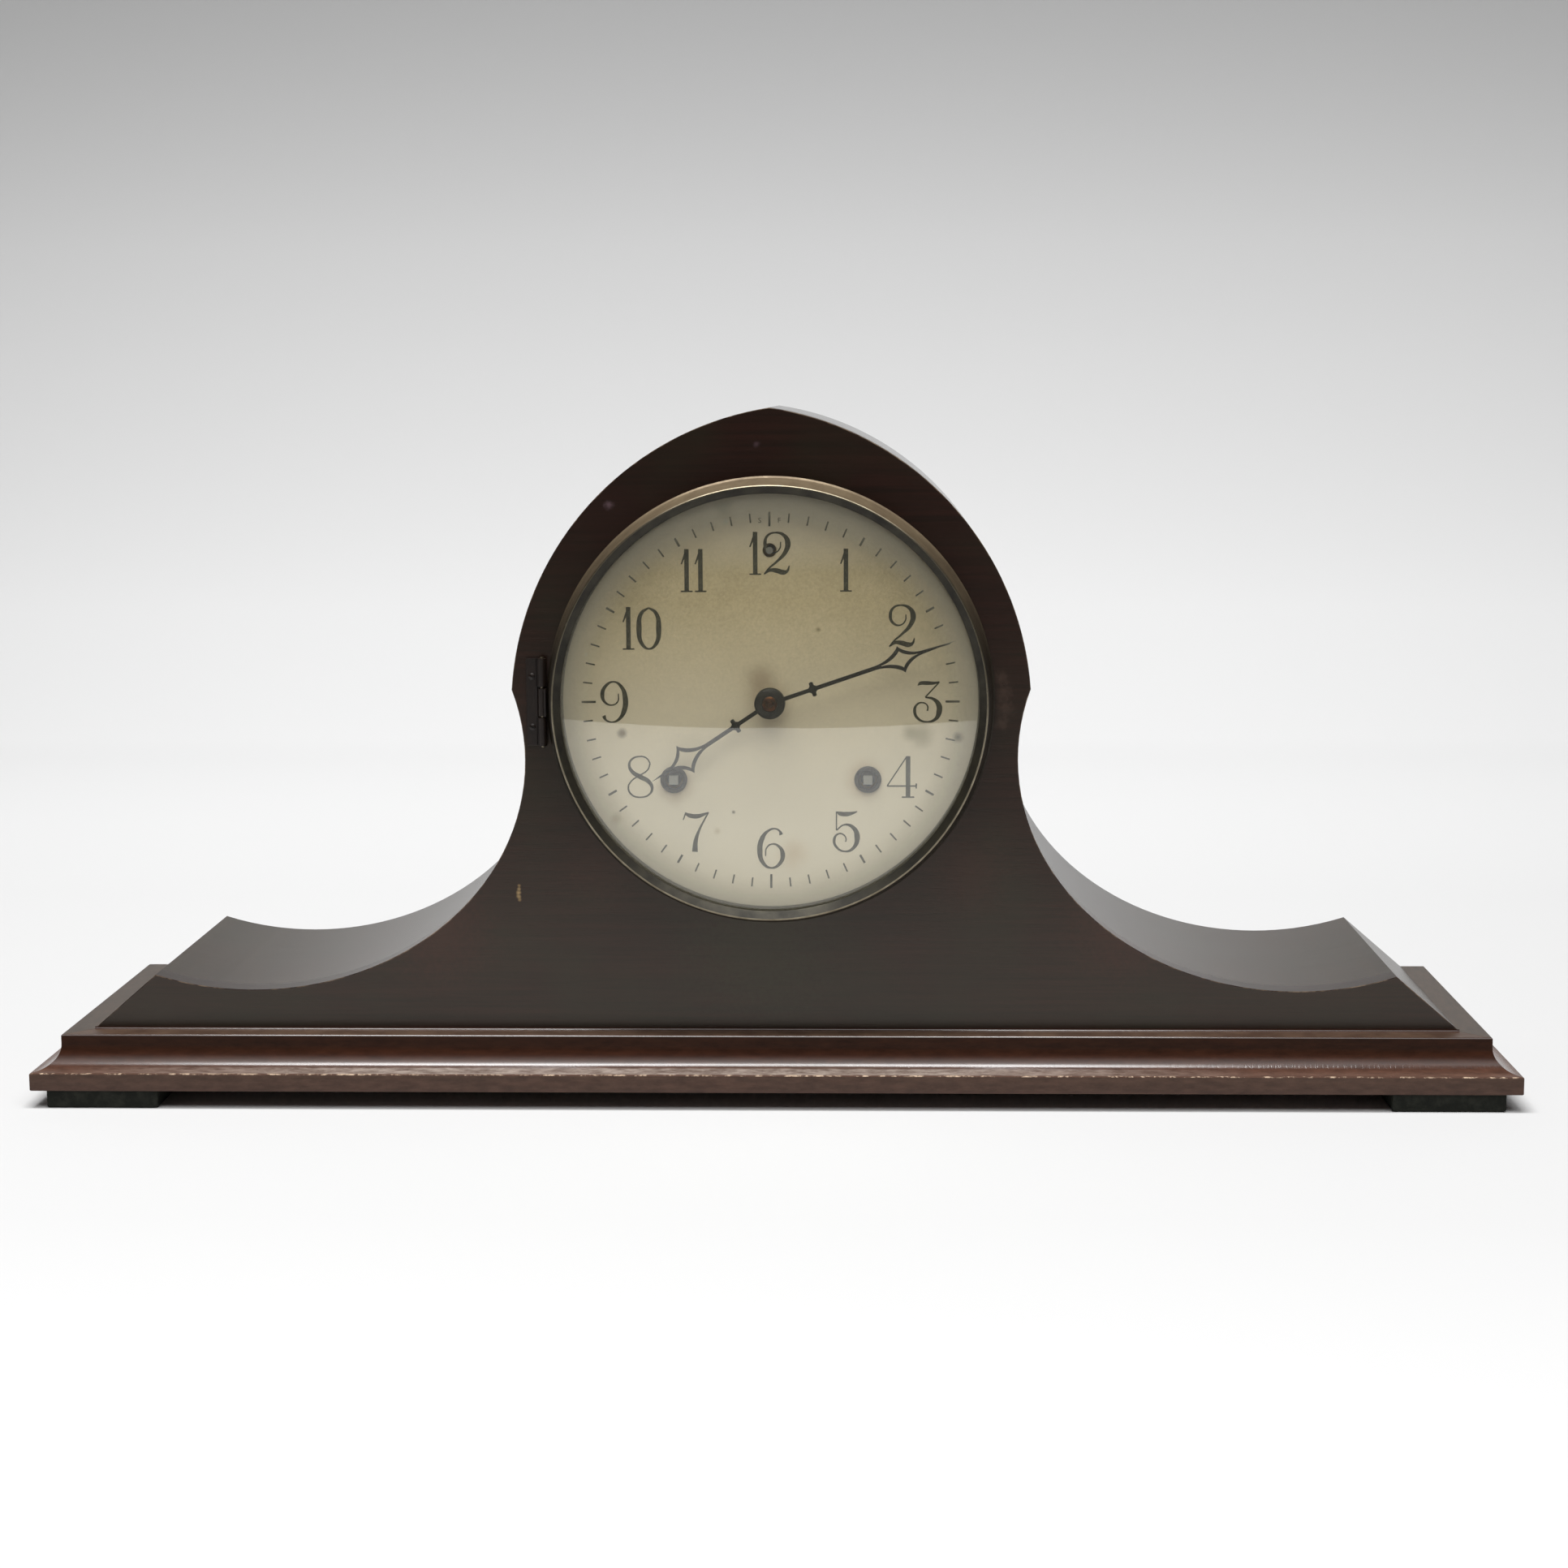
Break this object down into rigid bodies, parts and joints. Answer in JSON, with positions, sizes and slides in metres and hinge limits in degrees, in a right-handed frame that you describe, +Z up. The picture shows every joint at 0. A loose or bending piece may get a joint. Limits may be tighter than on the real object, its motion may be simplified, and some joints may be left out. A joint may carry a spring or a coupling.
{
  "type": "tambour mantel clock",
  "caption": "Pendulum mantel clock in a dark tambour case with a pointed arch, scooped wings, moulded base, hinged brass bezel, back door, striking movement and coiled gong.",
  "frame": {"origin": "on the table, under the middle of the base", "axes": "+X to the right and -Y to the front as one faces the dial, +Z up"},
  "size_m": [0.527, 0.133, 0.2458],
  "materials": {
    "mahogany": "dark satin shellac",
    "moulding_wood": "red-brown gloss shellac",
    "bare_wood": "unpolished",
    "black_wood": "matte black",
    "silvered_dial": "aged silver-cream lacquer",
    "bezel_brass": "dull bronzed",
    "movement_brass": "satin",
    "steel": "satin",
    "blackened_steel": "satin black",
    "black_iron": "japanned",
    "clear_glass": "clear, convex"
  },
  "bodies": {
    "case": {"base_board": "moulding_wood", "base_moulding_front": "moulding_wood", "base_moulding_left": "moulding_wood", "base_moulding_right": "moulding_wood", "foot_front_left": "black_wood", "foot_front_right": "black_wood", "foot_back_left": "black_wood", "foot_back_right": "black_wood", "front_panel": "mahogany", "back_panel": "bare_wood", "arch_skin_left": "mahogany", "arch_skin_right": "mahogany", "wing_skin_left": "mahogany", "wing_skin_right": "mahogany", "end_block_left": "mahogany", "end_block_right": "mahogany", "back_door_fixed_leaf": "movement_brass", "dial_plate": "silvered_dial", "grommet_strike": "blackened_steel", "grommet_time": "blackened_steel", "bezel_fixed_leaf": "bezel_brass", "movement_front_plate": "movement_brass", "movement_back_plate": "movement_brass", "plate_pillar_1": "steel", "plate_pillar_2": "steel", "plate_pillar_3": "steel", "plate_pillar_4": "steel", "mainspring_time": "steel", "mainspring_strike": "steel", "gong": "steel", "gong_stand": "black_iron"},
    "bezel": {"bezel_ring": "bezel_brass", "bezel_glass": "clear_glass", "bezel_moving_leaf": "bezel_brass"},
    "back_door": {"back_door": "bare_wood", "back_door_knob": "movement_brass", "back_door_moving_leaf": "movement_brass"},
    "minute_hand": {"minute_hand": "blackened_steel", "hand_nut": "movement_brass", "cannon_pinion": "movement_brass"},
    "hour_hand": {"hour_hand": "blackened_steel", "hour_wheel": "movement_brass"},
    "minute_wheel": {"minute_wheel": "movement_brass"},
    "great_time": {"great_wheel_time": "movement_brass"},
    "winding_time": {"winding_arbor_time": "steel"},
    "second": {"second_wheel": "movement_brass"},
    "centre": {"centre_wheel": "movement_brass"},
    "third": {"third_wheel": "movement_brass"},
    "escape": {"escape_wheel": "movement_brass"},
    "verge": {"verge": "steel"},
    "pendulum": {"suspension_spring": "steel", "pendulum_rod": "steel", "pendulum_bob": "movement_brass"},
    "regulator": {"regulator_arbor": "steel"},
    "great_strike": {"great_wheel_strike": "movement_brass"},
    "winding_strike": {"winding_arbor_strike": "steel"},
    "lifting": {"lifting_wheel": "movement_brass"},
    "strike_third": {"strike_third_wheel": "movement_brass"},
    "fly": {"fly": "movement_brass"},
    "hammer": {"hammer": "steel"}
  },
  "joints": [
    {"name": "bezel_hinge", "type": "hinge", "parent": "case", "child": "bezel", "pos_m": [-0.08035, -0.0496, 0.1433], "axis": [0, 0, -1], "range_deg": [0, 100]},
    {"name": "back_door_hinge", "type": "hinge", "parent": "case", "child": "back_door", "pos_m": [0.061, 0.062, 0.1093], "axis": [0, 0, -1], "range_deg": [0, 110]},
    {"name": "minute_hand_turn", "type": "hinge", "parent": "case", "child": "minute_hand", "pos_m": [0, -0.05, 0.1433], "axis": [0, 1, 0], "continuous": true},
    {"name": "hour_hand_turn", "type": "hinge", "parent": "case", "child": "hour_hand", "pos_m": [0, -0.05, 0.1433], "axis": [0, 1, 0], "continuous": true},
    {"name": "minute_wheel_turn", "type": "hinge", "parent": "case", "child": "minute_wheel", "pos_m": [-0.0099, -0.038, 0.1334], "axis": [0, 1, 0], "continuous": true},
    {"name": "third_wheel_turn", "type": "hinge", "parent": "case", "child": "third", "pos_m": [0.01188, -0.013, 0.15702], "axis": [0, 1, 0], "continuous": true},
    {"name": "centre_wheel_turn", "type": "hinge", "parent": "case", "child": "centre", "pos_m": [0, -0.013, 0.1433], "axis": [0, 1, 0], "continuous": true},
    {"name": "second_wheel_turn", "type": "hinge", "parent": "case", "child": "second", "pos_m": [0.00566, -0.013, 0.12495], "axis": [0, 1, 0], "continuous": true},
    {"name": "great_wheel_time_turn", "type": "hinge", "parent": "case", "child": "great_time", "pos_m": [0.0342, -0.013, 0.1157], "axis": [0, 1, 0], "continuous": true},
    {"name": "winding_time_turn", "type": "hinge", "parent": "great_time", "child": "winding_time", "pos_m": [0.0342, -0.013, 0.1157], "axis": [0, 1, 0], "continuous": true},
    {"name": "escape_wheel_turn", "type": "hinge", "parent": "case", "child": "escape", "pos_m": [0, -0.013, 0.1683], "axis": [0, 1, 0], "continuous": true},
    {"name": "pendulum_swing", "type": "hinge", "parent": "case", "child": "pendulum", "pos_m": [0, 0.0203, 0.1883], "axis": [0, 1, 0], "range_deg": [-4, 4]},
    {"name": "verge_rock", "type": "hinge", "parent": "case", "child": "verge", "pos_m": [0, -0.013, 0.1883], "axis": [0, 1, 0], "range_deg": [-4, 4]},
    {"name": "regulator_turn", "type": "hinge", "parent": "case", "child": "regulator", "pos_m": [0, -0.013, 0.1964], "axis": [0, 1, 0], "continuous": true},
    {"name": "strike_third_turn", "type": "hinge", "parent": "case", "child": "strike_third", "pos_m": [-0.03341, -0.013, 0.16317], "axis": [0, 1, 0], "continuous": true},
    {"name": "lifting_wheel_turn", "type": "hinge", "parent": "case", "child": "lifting", "pos_m": [-0.03941, -0.013, 0.14524], "axis": [0, 1, 0], "continuous": true},
    {"name": "great_wheel_strike_turn", "type": "hinge", "parent": "case", "child": "great_strike", "pos_m": [-0.0342, -0.013, 0.1157], "axis": [0, 1, 0], "continuous": true},
    {"name": "winding_strike_turn", "type": "hinge", "parent": "great_strike", "child": "winding_strike", "pos_m": [-0.0342, -0.013, 0.1157], "axis": [0, 1, 0], "continuous": true},
    {"name": "fly_turn", "type": "hinge", "parent": "case", "child": "fly", "pos_m": [-0.02444, -0.013, 0.17662], "axis": [0, 1, 0], "continuous": true},
    {"name": "hammer_lift", "type": "hinge", "parent": "case", "child": "hammer", "pos_m": [-0.022, 0.02, 0.1463], "axis": [0, 1, 0], "range_deg": [0, 20]}
  ],
  "couplings": [
    {"joint": "hour_hand_turn", "follows": "minute_hand_turn", "ratio": 0.083333},
    {"joint": "minute_wheel_turn", "follows": "minute_hand_turn", "ratio": -0.33333},
    {"joint": "centre_wheel_turn", "follows": "third_wheel_turn", "ratio": -0.1},
    {"joint": "second_wheel_turn", "follows": "third_wheel_turn", "ratio": 0.05},
    {"joint": "great_wheel_time_turn", "follows": "third_wheel_turn", "ratio": -0.0071429},
    {"joint": "escape_wheel_turn", "follows": "third_wheel_turn", "ratio": -12},
    {"joint": "lifting_wheel_turn", "follows": "strike_third_turn", "ratio": -0.16667},
    {"joint": "great_wheel_strike_turn", "follows": "strike_third_turn", "ratio": 0.02381},
    {"joint": "fly_turn", "follows": "strike_third_turn", "ratio": -6},
    {"joint": "verge_rock", "follows": "pendulum_swing", "ratio": 1}
  ]
}
